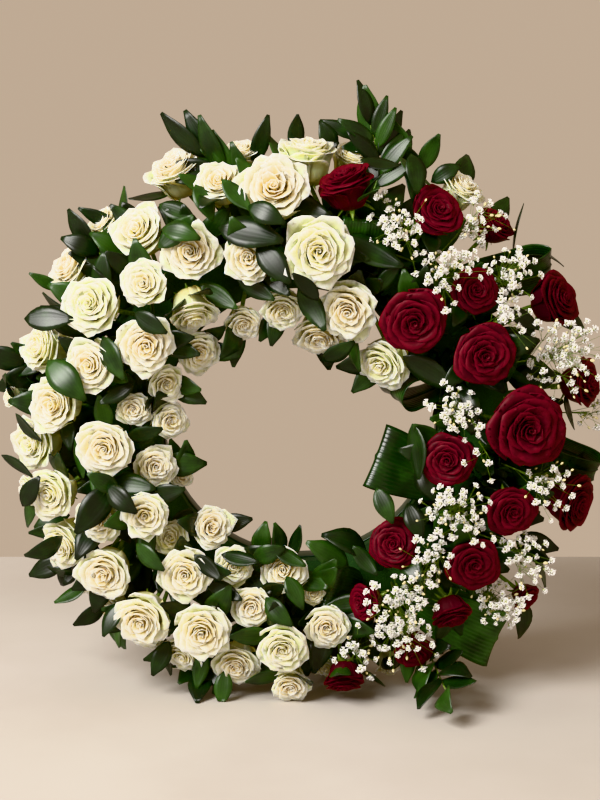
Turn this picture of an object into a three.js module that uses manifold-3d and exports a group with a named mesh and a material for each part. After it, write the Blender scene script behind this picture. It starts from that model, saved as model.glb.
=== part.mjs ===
// A funeral wreath: white and red roses, butcher's broom, folded aspidistra leaves and gypsophila pushed
// into a wet foam ring, whose plastic tray stands upright on two steel feet and a cross bar.
// Millimetres, +Z up, the flowers face -Y, and the lowest point of the whole rests on Z = 0.
import * as THREE from "three";
import { mergeVertices } from "three/addons/utils/BufferGeometryUtils.js";
import Module from "manifold-3d";

// Driving dimensions.
const ringOuter = 254; // outer radius of a 20 inch foam ring
const ringInner = 164;
const ringHeight = 310; // centre of the ring above the floor
const foamFront = -30; // crown of the foam, in front of the ring's middle plane
const trayBack = 36; // flat back of the tray
const trayRim = 8; // front edge of the tray's two walls
const trayWall = 2;
const coreRadius = (ringOuter + ringInner) / 2; // circle that every stem is aimed at
const clearance = 0.35; // gap kept between touching pieces
const fullness = 1.12; // every head's width over its planned width
const faceShare = 0.7; // a head looks out by this share of its stem's lean, and the rest of the way forward
const petalPress = 0.97; // how far a head's solid fills the ball that its petals need
const roseStem = 5;
const broomStem = 3;
const gypStem = 2.2;
const leafThickness = 1.2;
const steel = 4; // thickness of the stand's flat bar
const barWidth = 25;
const feetApart = 90;
const footFront = -30;
const footBack = 83;
const crossLength = 364;
const crossLip = 9; // height of the cross bar's turned-up ends

// The planting plan. A place is read like a clock seen from the front: [clock, lean, reach], where clock
// is the angle round the ring in degrees from the top, lean tips the stem from straight forward (0) to
// outward (90) or toward the centre (-90), and reach is the distance from the core circle.
// A rose adds its width, and its own [clock, lean] of facing where that differs from its place.
const whitePicks = [
  [[334, 91, 124, 60], [343, 55, 115, 52], [348, 92, 120, 42]],
  [[11, 92, 112, 48], [2, 67, 115, 66, 2, 80], [355, 37, 122, 76], [34, 92, 128, 50]],
  [[322, 50, 115, 60], [316, 89, 120, 48], [305, 88, 115, 60]],
  [[306, 33, 118, 64], [315, 24, 112, 52], [302, -3, 112, 64]],
  [[329, 16, 108, 62], [321, -9, 100, 54, 345, -55], [312, -32, 92, 48]],
  [[342, 7, 108, 54], [335, -39, 95, 40], [351, -37, 95, 48]],
  [[6, 4, 118, 76], [22, -20, 112, 64], [12, -61, 98, 58], [48, -47, 105, 60]],
  [[288, 72, 110, 60], [278, 40, 112, 62], [276, 83, 136, 26]],
  [[289, 25, 112, 58], [291, -24, 95, 42], [280, -11, 90, 38]],
  [[280, -33, 92, 42], [269, 6, 115, 64], [259, -23, 95, 48], [251, -43, 85, 28]],
  [[267, 57, 110, 60], [257, 43, 112, 58], [257, 80, 122, 36]],
  [[247, 25, 105, 52], [245, 54, 112, 60], [234, 77, 113, 28], [233, 29, 115, 60]],
  [[243, -2, 108, 52], [231, -12, 98, 38], [223, -30, 98, 48], [220, 0, 115, 58]],
  [[223, 29, 118, 64], [227, 60, 112, 36], [217, 50, 112, 36]],
  [[205, -18, 100, 46], [208, 11, 118, 64], [208, 44, 115, 48], [196, 0, 110, 48]],
  [[187, -23, 100, 52], [186, 13, 120, 58], [196, 31, 118, 52], [183, 34, 142, 42]],
  [[175, 7, 112, 48], [177, -17, 90, 28], [174, 44, 100, 28], [159, 74, 102, 36]],
];
const redPicks = [
  [9, 46, 125, 72, 340, 75],
  [31, 51, 120, 64],
  [44, 89, 122, 52],
  [49, 27, 115, 58],
  [63, 78, 130, 72],
  [39, -11, 120, 78],
  [66, 11, 125, 76],
  [81, 83, 131, 64],
  [84, 19, 135, 96],
  [97, -18, 118, 66],
  [138, -23, 115, 62],
  [108, 21, 125, 64],
  [105, 73, 130, 76],
  [125, 16, 125, 66],
  [159, -2, 112, 48, 270, 50],
  [139, 29, 125, 52, 160, 60],
  [152, 36, 125, 52, 175, 35],
  [170, 37, 143, 52, 175, 60],
  [127, 76, 134, 40],
];
// Aspidistra folds: where the leaf leaves the foam, the place of the fold's crown, the leaf's width, how far
// its two faces stand apart, and the turn of the fold about its own length (at 0 a broad face is in front).
const aspidistraFolds = [
  { name: "inner_upper", from: [70, -20], crown: [65, -58, 110], width: 58, spread: 34, turn: 70 },
  { name: "inner_lower", from: [112, -25], crown: [107, -66, 128], width: 78, spread: 22, turn: 15 },
  { name: "bottom", from: [161, -12], crown: [169, -19, 92], width: 58, spread: 24, turn: 10 },
  { name: "lower_right", from: [151, 60], crown: [137, 75, 146], width: 74, spread: 22, turn: 5 },
  { name: "upper_right", from: [43, 41], crown: [57, 87, 147], width: 60, spread: 24, turn: 45 },
  { name: "right", from: [90, 60], crown: [98, 79, 153], width: 50, spread: 20, turn: 50 },
  { name: "top", from: [18, 12], crown: [17, 29, 112], width: 56, spread: 20, turn: 10 },
];
// Butcher's broom sprigs: where the stem leaves the foam, the place it bends through, and its tip.
const broomSprigs = [
  { name: "top_right", from: [16, 68], bend: [17, 82, 110], tip: [13, 86, 158], leaves: 8, size: 64 },
  { name: "top_left", from: [353, 74], bend: [345, 82, 96], tip: [341, 86, 130], leaves: 6, size: 76 },
  { name: "left_top", from: [311, 70], bend: [311, 72, 90], tip: [312, 78, 120], leaves: 6, size: 58 },
  { name: "left", from: [286, 82], bend: [283, 84, 90], tip: [283, 84, 125], leaves: 6, size: 60 },
  { name: "lower_left", from: [240, 74], bend: [240, 76, 90], tip: [240, 82, 118], leaves: 6, size: 56 },
  { name: "lower_front", from: [204, 62], bend: [204, 60, 90], tip: [202, 56, 122], leaves: 6, size: 56 },
  { name: "trailing", from: [153, 64], bend: [150, 54, 112], tip: [149, 33, 208], leaves: 7, size: 60 },
];
// Gypsophila sprays: each forks into clouds of flowers, with the place of a cloud's middle and its radius.
const gypsophilaSprays = [
  [[25, 28, 126, 30], [38, 59, 130, 24], [40, 19, 130, 28]],
  [[51, 43, 130, 26], [58, 24, 134, 30], [72, 51, 136, 44]],
  [[78, -12, 130, 28], [93, 2, 134, 22], [99, 32, 134, 30], [87, 84, 138, 22]],
  [[115, -6, 130, 44], [118, 34, 130, 32], [133, 2, 128, 28]],
  [[130, 47, 130, 32], [149, 2, 128, 36], [153, 20, 126, 28], [165, 26, 126, 20]],
];

const wasm = await Module();
wasm.setup();

const radians = THREE.MathUtils.degToRad;
const ringCentre = new THREE.Vector3(0, 0, ringHeight);
const forward = new THREE.Vector3(0, -1, 0);

// A geometry's closed surface as a solid that can be joined and cut.
function solid(geometry) {
  const bare = geometry.clone();
  bare.deleteAttribute("normal");
  bare.deleteAttribute("uv");
  const merged = mergeVertices(bare, 1e-4);
  const vertProperties = new Float32Array(merged.attributes.position.array);
  const triVerts = new Uint32Array(merged.index.array);
  return new wasm.Manifold(new wasm.Mesh({ numProp: 3, vertProperties, triVerts }));
}

function geometryOf(body) {
  const mesh = body.getMesh();
  const geometry = new THREE.BufferGeometry();
  geometry.setAttribute("position", new THREE.BufferAttribute(mesh.vertProperties, 3));
  geometry.setIndex(new THREE.BufferAttribute(mesh.triVerts, 1));
  geometry.computeVertexNormals();
  return geometry;
}

const joined = (bodies) => bodies.reduce((whole, body) => whole.add(body));

// The way out of the ring at a clock angle, and the way that a stem points at a clock angle and lean.
function outward(clock) {
  return new THREE.Vector3(Math.sin(radians(clock)), 0, Math.cos(radians(clock)));
}

function direction(clock, lean) {
  const way = outward(clock).multiplyScalar(Math.sin(radians(lean)));
  way.y = -Math.cos(radians(lean));
  return way;
}

function place(clock, lean, reach) {
  const core = ringCentre.clone().addScaledVector(outward(clock), coreRadius);
  return core.addScaledVector(direction(clock, lean), reach);
}

// Repeatable random numbers, so that the wreath comes out the same each time.
function makeRandom(seed) {
  let state = seed;
  return () => {
    state = (state * 16807) % 2147483647;
    return state / 2147483647;
  };
}

// A straight stem between two points.
function rod(from, to, thickness, sides = 3) {
  const along = to.clone().sub(from);
  const geometry = new THREE.CylinderGeometry(thickness / 2, thickness / 2, along.length(), sides);
  const up = THREE.Object3D.DEFAULT_UP;
  geometry.applyQuaternion(new THREE.Quaternion().setFromUnitVectors(up, along.clone().normalize()));
  const middle = from.clone().lerp(to, 0.5);
  return geometry.translate(middle.x, middle.y, middle.z);
}

// A thin strip along a curve. acrossAt gives the way across it and widthAt its width, both for 0 to 1.
function blade(curve, acrossAt, widthAt, thickness, steps) {
  const geometry = new THREE.BoxGeometry(1, 1, 1, 1, 1, steps);
  const position = geometry.attributes.position;
  for (let i = 0; i < position.count; i++) {
    const t = position.getZ(i) + 0.5;
    const across = acrossAt(t);
    const face = curve.getTangentAt(t).cross(across).normalize();
    const point = curve.getPointAt(t);
    point.addScaledVector(across, position.getX(i) * widthAt(t));
    point.addScaledVector(face, position.getY(i) * thickness);
    position.setXYZ(i, point.x, point.y, point.z);
  }
  return geometry;
}

// A rose head: a cup of petals on a narrow base.
const headSides = 7;
const headProfile = [[0, -0.8], [0.62, -0.5], [1, 0.26], [0.64, 0.72], [0, 0.56]];

function roseHead(width) {
  const radius = (width / 2) * petalPress;
  const points = headProfile.map(([r, h]) => new THREE.Vector2(r * radius, h * radius));
  return new THREE.LatheGeometry(points, headSides);
}

// Heads that would share the same space press each other apart, and none goes below the floor.
const settleRounds = 60;

function settle(heads) {
  for (let round = 0; round < settleRounds; round++) {
    heads.forEach((one, i) => {
      heads.slice(i + 1).forEach((other) => {
        const apart = other.middle.clone().sub(one.middle);
        const need = (one.width + other.width) / 2;
        const push = Math.max(0, need - apart.length()) / 2;
        apart.setLength(push);
        one.middle.sub(apart);
        other.middle.add(apart);
      });
    });
    heads.forEach((head) => {
      head.middle.z = Math.max(head.middle.z, head.width / 2);
    });
  }
}

function headOf([clock, lean, reach, plannedWidth, faceClock = clock, faceLean = faceShare * lean]) {
  const width = fullness * plannedWidth;
  return { lean, width, middle: place(clock, lean, reach), face: direction(faceClock, faceLean) };
}

// Where the stem meets the base of its head, as a share of the head's width below its middle.
const neckDrop = 0.3;

function neckOf(head) {
  return head.middle.clone().addScaledVector(head.face, -neckDrop * head.width);
}

// The stems of one pick: the first goes to the foot, and the others join it a little above, one by one.
const joinStep = 9;

function stemsOf(heads, foot) {
  const main = neckOf(heads[0]).sub(foot).normalize();
  return heads.map((head, i) => {
    return { from: foot.clone().addScaledVector(main, joinStep * i), to: neckOf(head) };
  });
}

function rosePick(heads, stems) {
  const blooms = heads.map((head) => {
    const turn = new THREE.Quaternion().setFromUnitVectors(THREE.Object3D.DEFAULT_UP, head.face);
    const bloom = roseHead(head.width).applyQuaternion(turn);
    return solid(bloom.translate(head.middle.x, head.middle.y, head.middle.z));
  });
  return joined([...stems.map(({ from, to }) => solid(rod(from, to, roseStem))), ...blooms]);
}

// The room that stems need in the foam: the same rods, a little thicker and deeper.
function stemRoom(from, to, thickness) {
  const deeper = from.clone().addScaledVector(to.clone().sub(from).normalize(), -clearance * 3);
  return solid(rod(deeper, to, thickness + 3 * clearance));
}

const part = new THREE.Group();
const stemHoles = [];

function addPiece(name, body, colour, roughness, metalness = 0) {
  const material = new THREE.MeshStandardMaterial({ color: colour, roughness, metalness });
  const mesh = new THREE.Mesh(geometryOf(body), material);
  mesh.name = name;
  part.add(mesh);
}

// Roses.
const whiteDepth = 8; // how far from the core circle the foot of a white pick ends
const redDepth = 24;
const whiteHeads = whitePicks.map((pick) => pick.map(headOf));
const redHeads = redPicks.map((row) => [headOf(row)]);
const allHeads = [...whiteHeads, ...redHeads].flat();
settle(allHeads);

// The room that is already taken, as balls: a piece put in later finds its way between them.
const taken = allHeads.map((head) => ({ middle: head.middle, radius: head.width / 2 }));

function take(points, radius) {
  points.forEach((middle) => taken.push({ middle, radius }));
}

function isClear(points, margin) {
  return points.every(
    (point) =>
      point.z > margin && taken.every((ball) => point.distanceTo(ball.middle) > ball.radius + margin),
  );
}

function footOf(heads, depth) {
  const sum = heads.reduce((total, head) => total.add(head.middle), new THREE.Vector3());
  const away = sum.divideScalar(heads.length).sub(ringCentre);
  const clock = THREE.MathUtils.radToDeg(Math.atan2(away.x, away.z));
  const lean = heads.reduce((total, head) => total + head.lean, 0) / heads.length;
  return place(clock, lean, depth);
}

function addRoses(kind, picks, depth, colour) {
  picks.forEach((heads, i) => {
    const stems = stemsOf(heads, footOf(heads, depth));
    addPiece(`${kind}_roses_${String(i + 1).padStart(2, "0")}`, rosePick(heads, stems), colour, 0.7);
    stems.forEach(({ from, to }) => {
      stemHoles.push(stemRoom(from, to, roseStem));
      take(new THREE.LineCurve3(from, to).getPoints(16), roseStem / 2);
    });
  });
}

addRoses("white", whiteHeads, whiteDepth, "#efe9d2");
addRoses("red", redHeads, redDepth, "#7d0a1b");

// Aspidistra: a long strap leaf bent double, with its stalk and its tip both pushed into the foam.
const foldDepth = 22;
const leafBall = 5; // radius of the balls that stand for a leaf
const foldStalk = 8;

function foldGeometry({ from, crown, width, spread, turn }, extra) {
  const foot = place(...from, foldDepth);
  const along = place(...crown).sub(foot);
  const height = along.length() + extra;
  along.normalize();
  foot.addScaledVector(along, -extra);
  const across = along.clone().cross(forward).normalize().applyAxisAngle(along, radians(turn));
  const apart = along.clone().cross(across);
  const side = (up, out) => foot.clone().addScaledVector(along, up).addScaledVector(apart, out);
  const curve = new THREE.CatmullRomCurve3([
    side(0, -foldStalk),
    side(0.5 * height, -spread / 2),
    side(0.85 * height, -spread / 2),
    side(height, 0),
    side(0.85 * height, spread / 2),
    side(0.5 * height, spread / 2),
    side(0, foldStalk),
  ]);
  const widthAt = (t) => foldStalk + extra + (width - foldStalk) * Math.sqrt(Math.sin(Math.PI * t));
  if (!extra) {
    curve.getPoints(24).forEach((point, i) => {
      const rows = [-0.45, -0.3, -0.15, 0, 0.15, 0.3, 0.45];
      take(rows.map((row) => point.clone().addScaledVector(across, row * widthAt(i / 24))), leafBall);
    });
  }
  return blade(curve, () => across, widthAt, leafThickness + 2 * extra, 12);
}

aspidistraFolds.forEach((fold) => {
  addPiece(`aspidistra_${fold.name}`, solid(foldGeometry(fold, 0)), "#1d4a1c", 0.35);
  stemHoles.push(solid(foldGeometry(fold, clearance)));
});

// Butcher's broom: a thin stem with leaves on alternate sides and one at its tip.
const broomDepth = 22;
const leafGap = 3;
const broomOutline = [0.04, 0.42, 0.38, 0.03]; // a leaf's width at each third of its length, over its length
const broomRise = 60; // the stem leaves the foam straight as far as this reach
const leafTries = 60;

function tube(curve, thickness, steps) {
  const side = thickness / 2;
  const section = new THREE.Shape([
    new THREE.Vector2(side, side),
    new THREE.Vector2(-side, side),
    new THREE.Vector2(-side, -side),
    new THREE.Vector2(side, -side),
  ]);
  return new THREE.ExtrudeGeometry(section, { steps, extrudePath: curve, bevelEnabled: false });
}

function sprigCurve({ from, bend, tip }, depth) {
  const route = [place(...from, depth), place(...from, broomRise), place(...bend), place(...tip)];
  return new THREE.CatmullRomCurve3(route);
}

function addSprig(sprig, random) {
  const { name, leaves, size } = sprig;
  const curve = sprigCurve(sprig, broomDepth);
  const bodies = [solid(tube(curve, broomStem, 5))];
  const ownPoints = curve.getPoints(16).slice(4);
  for (let i = 0; i < leaves; i++) {
    const last = i === leaves - 1;
    const base = curve.getPointAt(last ? 0.97 : 0.5 + (0.42 * i) / (leaves - 1));
    const along = curve.getTangentAt(0.9);
    const length = size * (0.85 + 0.2 * random());
    for (let attempt = 0; attempt < leafTries; attempt++) {
      const round = (i % 2) * Math.PI + (random() - 0.5) * (0.6 + attempt * 0.06);
      const sideways = along.clone().cross(forward).normalize().applyAxisAngle(along, round);
      const open = last ? 0.1 : 0.7 + 0.4 * random();
      const way = along.clone().multiplyScalar(Math.cos(open)).addScaledVector(sideways, Math.sin(open));
      const across = way.clone().cross(along.clone().cross(sideways)).normalize();
      const end = base.clone().addScaledVector(way, length);
      end.z = Math.max(end.z, 2 * leafGap);
      const midrib = new THREE.LineCurve3(base, end);
      const points = midrib.getPoints(6).slice(1);
      const edges = points.flatMap((point) =>
        [-0.18, 0.18].map((side) => point.clone().addScaledVector(across, side * length)),
      );
      if (isClear([...points, ...edges], leafGap)) {
        const widthAt = (t) => length * broomOutline[Math.round(3 * t)];
        bodies.push(solid(blade(midrib, () => across, widthAt, leafThickness, 3)));
        ownPoints.push(...points);
        break;
      }
    }
  }
  take(ownPoints, leafBall);
  addPiece(`broom_${name}`, joined(bodies), "#2f6b25", 0.4);
  stemHoles.push(solid(tube(sprigCurve(sprig, broomDepth - 1), broomStem + 3 * clearance, 5)));
}

const broomRandom = makeRandom(11);
broomSprigs.forEach((sprig) => addSprig(sprig, broomRandom));

// Gypsophila: a wiry stem with side twigs that each end in a small double flower.
const gypDepth = 22;
const floretRadius = 3.8;

// A twig that starts as a point inside its stem and ends in a flower.
function flowerOnTwig(fork, point) {
  const twig = point.clone().sub(fork);
  const length = twig.length();
  const profile = [
    [0, 0],
    [gypStem / 4, length - floretRadius],
    [floretRadius, length],
    [0, length + floretRadius],
  ];
  const geometry = new THREE.LatheGeometry(profile.map(([r, h]) => new THREE.Vector2(r, h)), 4);
  const turn = new THREE.Quaternion().setFromUnitVectors(THREE.Object3D.DEFAULT_UP, twig.normalize());
  return geometry.applyQuaternion(turn).translate(fork.x, fork.y, fork.z);
}

// The room between the foam and the heads, where a spray's branches part.
const forkReach = 56;

function addCloud(bodies, entry, [clock, lean, reach, radius], random) {
  const elbow = place(clock, lean, forkReach);
  const middle = place(clock, lean, reach);
  bodies.push(solid(rod(entry, elbow, gypStem)), solid(rod(elbow, middle, gypStem)));
  const stem = new THREE.LineCurve3(elbow, middle);
  const wanted = 3 + Math.floor(radius / 12);
  const flowers = [];
  for (let attempt = 0; attempt < 900 && flowers.length < wanted; attempt++) {
    const point = new THREE.Vector3(random() - 0.5, random() - 0.5, random() - 0.5);
    point.multiplyScalar(2 * radius).add(middle);
    const fork = stem.getPointAt(0.4 + 0.55 * ((flowers.length + 0.5) / wanted));
    const twig = new THREE.LineCurve3(fork, point).getPoints(6).slice(1);
    const spaced = flowers.every((flower) => flower.distanceTo(point) > 3 * floretRadius);
    if (point.distanceTo(middle) < radius && spaced && isClear(twig, floretRadius)) {
      bodies.push(solid(flowerOnTwig(fork, point)));
      flowers.push(point);
    }
  }
  take(flowers, floretRadius);
  take(stem.getPoints(12).slice(3), gypStem);
}

function addSpray(clouds, index, random) {
  const middle = clouds.reduce((sum, cloud) => sum.add(place(...cloud)), new THREE.Vector3());
  const away = middle.divideScalar(clouds.length).sub(ringCentre);
  const clock = THREE.MathUtils.radToDeg(Math.atan2(away.x, away.z));
  const lean = clouds.reduce((sum, cloud) => sum + cloud[1], 0) / clouds.length;
  const foot = place(clock, lean, gypDepth);
  const entry = place(clock, lean, forkReach);
  const bodies = [solid(rod(foot, entry, gypStem))];
  stemHoles.push(stemRoom(foot, entry, gypStem));
  clouds.forEach((cloud) => addCloud(bodies, entry, cloud, random));
  addPiece(`gypsophila_${String(index + 1).padStart(2, "0")}`, joined(bodies), "#f2f2ec", 0.8);
}

const gypRandom = makeRandom(5);
gypsophilaSprays.forEach((spray, i) => addSpray(spray, i, gypRandom));

// The tray: one moulded channel with a flat back and two low walls.
const ringFacets = 40;

function ringSolid(profile, segments) {
  const points = profile.map(([r, y]) => new THREE.Vector2(r, y));
  const geometry = new THREE.LatheGeometry([...points, points[0]], segments);
  return solid(geometry.translate(0, 0, ringHeight));
}

const trayProfile = [
  [ringInner, trayBack],
  [ringInner, trayRim],
  [ringInner + trayWall, trayRim],
  [ringInner + trayWall, trayBack - trayWall],
  [ringOuter - trayWall, trayBack - trayWall],
  [ringOuter - trayWall, trayRim],
  [ringOuter, trayRim],
  [ringOuter, trayBack],
];
addPiece("tray_ring", ringSolid(trayProfile, ringFacets), "#16301c", 0.45);

// The foam: a ring that fills the tray and stands proud of it with bevelled shoulders.
const foamInner = ringInner + trayWall + clearance;
const foamOuter = ringOuter - trayWall - clearance;
const bevel = 20;
const foamProfile = [
  [foamInner, trayBack - trayWall - clearance],
  [foamInner, foamFront + bevel],
  [foamInner + bevel, foamFront],
  [foamOuter - bevel, foamFront],
  [foamOuter, foamFront + bevel],
  [foamOuter, trayBack - trayWall - clearance],
];
const drilled = stemHoles.reduce((foam, hole) => foam.subtract(hole), ringSolid(foamProfile, ringFacets));
addPiece("foam_ring", drilled, "#27452b", 0.95);

// The stand: each foot is a flat bar on the floor with an upright behind the tray, a shelf under the tray's
// outer wall and a hook through the ring over its inner wall. The cross bar lies behind both feet.
const shelfFront = -20;
const hookFront = 2;

// A flat steel bar, bent along an outline seen from the side (y, z) or from the front (x, z).
function bentBar(outline, width, axes) {
  const shape = new THREE.Shape(outline.map(([u, v]) => new THREE.Vector2(u, v)));
  const geometry = new THREE.ExtrudeGeometry(shape, { depth: width, bevelEnabled: false });
  return geometry.translate(0, 0, -width / 2).applyMatrix4(new THREE.Matrix4().makeBasis(...axes));
}

const xAxis = new THREE.Vector3(1, 0, 0);
const yAxis = new THREE.Vector3(0, 1, 0);
const zAxis = new THREE.Vector3(0, 0, 1);
const halfBar = barWidth / 2;
const nearEdge = feetApart / 2 - halfBar;
const farEdge = feetApart / 2 + halfBar;
const shelfTop = ringHeight - Math.sqrt(ringOuter ** 2 - nearEdge ** 2) - clearance;
const innerFlat = ringInner * Math.cos(Math.PI / ringFacets);
const hookUnder = ringHeight - Math.sqrt(innerFlat ** 2 - farEdge ** 2) + clearance;
const uprightFront = trayBack + clearance;
const uprightBack = uprightFront + steel;
const footOutline = [
  [footFront, 0],
  [footBack, 0],
  [footBack, steel],
  [uprightBack, steel],
  [uprightBack, hookUnder + steel],
  [hookFront, hookUnder + steel],
  [hookFront, hookUnder],
  [uprightFront, hookUnder],
  [uprightFront, shelfTop],
  [shelfFront, shelfTop],
  [shelfFront, shelfTop - steel],
  [uprightFront, shelfTop - steel],
  [uprightFront, steel],
  [footFront, steel],
];
["left", "right"].forEach((side, i) => {
  const bar = bentBar(footOutline, barWidth, [yAxis, zAxis, xAxis]);
  bar.translate((i - 0.5) * feetApart, 0, 0);
  addPiece(`${side}_foot`, solid(bar), "#17181a", 0.5, 0.6);
});

const half = crossLength / 2;
const crossOutline = [
  [-half, 0],
  [half, 0],
  [half, crossLip],
  [half - steel, crossLip],
  [half - steel, steel],
  [steel - half, steel],
  [steel - half, crossLip],
  [-half, crossLip],
];
const crossBar = bentBar(crossOutline, barWidth, [xAxis, zAxis, yAxis.clone().negate()]);
crossBar.translate(0, footBack + clearance + halfBar, 0);
addPiece("cross_bar", solid(crossBar), "#17181a", 0.5, 0.6);

// The frame's origin is the middle of the whole at floor level.
const box = new THREE.Box3().setFromObject(part);
const middle = box.getCenter(new THREE.Vector3());
part.position.set(-middle.x, -middle.y, -box.min.z);

export default part;
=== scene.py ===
# A funeral wreath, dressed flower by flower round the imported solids: foam ring and tray on a low black
# stand, white and red roses, aspidistra folds, butcher's broom and gypsophila. Metres, +Z up, front to -Y.
import math

import bpy
import numpy as np
from mathutils import Matrix, Quaternion, Vector


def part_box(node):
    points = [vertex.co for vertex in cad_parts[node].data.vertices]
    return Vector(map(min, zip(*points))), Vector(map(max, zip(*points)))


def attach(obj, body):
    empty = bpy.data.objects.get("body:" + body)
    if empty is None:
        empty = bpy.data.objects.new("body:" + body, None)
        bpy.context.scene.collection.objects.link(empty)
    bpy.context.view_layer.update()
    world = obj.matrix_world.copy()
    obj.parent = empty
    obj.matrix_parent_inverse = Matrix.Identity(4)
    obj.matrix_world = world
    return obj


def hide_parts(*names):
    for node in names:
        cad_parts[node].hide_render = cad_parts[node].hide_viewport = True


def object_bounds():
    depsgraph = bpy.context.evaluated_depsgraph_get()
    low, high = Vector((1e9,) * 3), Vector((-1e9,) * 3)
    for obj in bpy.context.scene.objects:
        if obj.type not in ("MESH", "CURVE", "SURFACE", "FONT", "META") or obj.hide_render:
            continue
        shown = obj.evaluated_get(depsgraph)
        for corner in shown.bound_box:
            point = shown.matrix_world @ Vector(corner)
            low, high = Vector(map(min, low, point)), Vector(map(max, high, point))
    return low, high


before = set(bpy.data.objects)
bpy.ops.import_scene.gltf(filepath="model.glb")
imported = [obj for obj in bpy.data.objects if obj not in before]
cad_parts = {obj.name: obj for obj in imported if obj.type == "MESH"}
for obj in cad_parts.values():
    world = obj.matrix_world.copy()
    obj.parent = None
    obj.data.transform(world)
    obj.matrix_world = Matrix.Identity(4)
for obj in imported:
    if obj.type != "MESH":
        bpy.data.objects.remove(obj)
cad_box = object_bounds()


# The studio: the wreath stands near the back edge of a plain pale floor, lit softly from the upper left and
# by even warm light all around. The lens looks slightly down on the ring.
tray_low, tray_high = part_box("tray_ring")
core_plane = 0.036  # the ring's middle plane is this far in front of the tray's back
ring_centre = Vector((
    (tray_low.x + tray_high.x) / 2,
    tray_high.y - core_plane,
    (tray_low.z + tray_high.z) / 2,
))


def linear(hex_colour):
    """A screen colour such as "#aabbcc" as linear red, green, blue and alpha."""
    channels = [int(hex_colour[i:i + 2], 16) / 255 for i in (1, 3, 5)]
    return [c / 12.92 if c <= 0.04045 else ((c + 0.055) / 1.055) ** 2.4 for c in channels] + [1.0]


def add_node(tree, kind, settings=None, inputs=None):
    """A new node with its settings, and its inputs given as values or as the sockets that feed them."""
    node = tree.nodes.new(kind)
    for name, value in (settings or {}).items():
        setattr(node, name, value)
    for name, value in (inputs or {}).items():
        if isinstance(value, bpy.types.NodeSocket):
            tree.links.new(value, node.inputs[name])
        else:
            node.inputs[name].default_value = value
    return node


def new_material(name, **surface):
    """A material with one Principled surface of these uniform values, its node tree and that surface."""
    material = bpy.data.materials.new(name)
    material.use_nodes = True
    shader = material.node_tree.nodes["Principled BSDF"]
    for socket, value in surface.items():
        shader.inputs[socket.replace("_", " ")].default_value = value
    return material, material.node_tree, shader


def add_noise(tree, scale, detail):
    """Noise over the piece's own coordinates, in cycles to the metre. Returns its value socket."""
    where = add_node(tree, "ShaderNodeTexCoord").outputs["Object"]
    noise = add_node(tree, "ShaderNodeTexNoise", inputs={"Vector": where, "Scale": scale, "Detail": detail})
    return noise.outputs["Fac"]


def add_ramp(tree, factor, stops):
    """A colour ramp through (position, screen colour) stops. Returns its colour socket."""
    ramp = add_node(tree, "ShaderNodeValToRGB", inputs={"Fac": factor})
    elements = ramp.color_ramp.elements
    elements[0].position, elements[0].color = stops[0][0], linear(stops[0][1])
    elements[1].position, elements[1].color = stops[-1][0], linear(stops[-1][1])
    for position, colour in stops[1:-1]:
        elements.new(position).color = linear(colour)
    return ramp.outputs["Color"]


def grained_material(name, tone_noise, stops, bump_noise=None, bump=None, **surface):
    """A material toned by one noise (scale, detail), and roughened by another through a bump (strength,
    distance) where asked for."""
    material, tree, shader = new_material(name, **surface)
    tree.links.new(add_ramp(tree, add_noise(tree, *tone_noise), stops), shader.inputs["Base Color"])
    if bump:
        add_bump(tree, shader, add_noise(tree, *bump_noise), *bump)
    return material


def add_bump(tree, shader, height, strength, distance):
    bump = add_node(tree, "ShaderNodeBump", inputs={
        "Strength": strength, "Distance": distance, "Height": height,
    })
    tree.links.new(bump.outputs["Normal"], shader.inputs["Normal"])


def add_object(name, data):
    made = bpy.data.objects.new(name, data)
    bpy.context.scene.collection.objects.link(made)
    return made


def build_floor():
    left, right = -4.0, 4.0
    front_edge, back_edge = -4.5, 0.66
    corners = [(left, front_edge, 0), (right, front_edge, 0), (right, back_edge, 0), (left, back_edge, 0)]
    sheet = bpy.data.meshes.new("studio_floor")
    sheet.from_pydata(corners, [], [(0, 1, 2, 3)])
    pale_tones = [(0.35, "#b5afa8"), (0.65, "#bdb8b2")]
    sheet.materials.append(grained_material("painted floor, matt", (3.0, 4.0), pale_tones, Roughness=0.85))
    add_object("studio_floor", sheet)


def add_aimed(name, data, position, target):
    holder = add_object(name, data)
    holder.location = position
    holder.rotation_euler = (target - Vector(position)).to_track_quat("-Z", "Y").to_euler()
    return holder


def add_light(name, position, width, power, colour):
    lamp = bpy.data.lights.new(name, "AREA")
    lamp.size = width
    lamp.energy = power
    lamp.color = linear(colour)[:3]
    add_aimed(name, lamp, position, ring_centre)


def build_camera():
    focal_length = 91.2
    distance = 2.4
    eye_height = 0.733
    aim_height = 0.34
    lens = bpy.data.cameras.new("view")
    lens.lens = focal_length
    position = (ring_centre.x, ring_centre.y - distance, eye_height)
    target = Vector((ring_centre.x, ring_centre.y, aim_height))
    bpy.context.scene.camera = add_aimed("view", lens, position, target)


def light_room(colour, strength):
    """Even light from all around, of the colour that shows behind the wreath."""
    world = bpy.data.worlds.new("room light")
    world.use_nodes = True
    world.node_tree.nodes["Background"].inputs["Color"].default_value = linear(colour)
    world.node_tree.nodes["Background"].inputs["Strength"].default_value = strength
    bpy.context.scene.world = world


bpy.context.scene.view_settings.view_transform = "Khronos PBR Neutral"
bpy.context.scene.cycles.diffuse_bounces = 9  # light passes through several petals
build_floor()
build_camera()
add_light("window", position=(-1.7, -1.9, 2.2), width=1.5, power=185, colour="#fffcf8")
add_light("fill", position=(1.9, -2.4, 1.2), width=2.2, power=8, colour="#fff8f0")
light_room("#d3bea8", 0.86)


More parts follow.
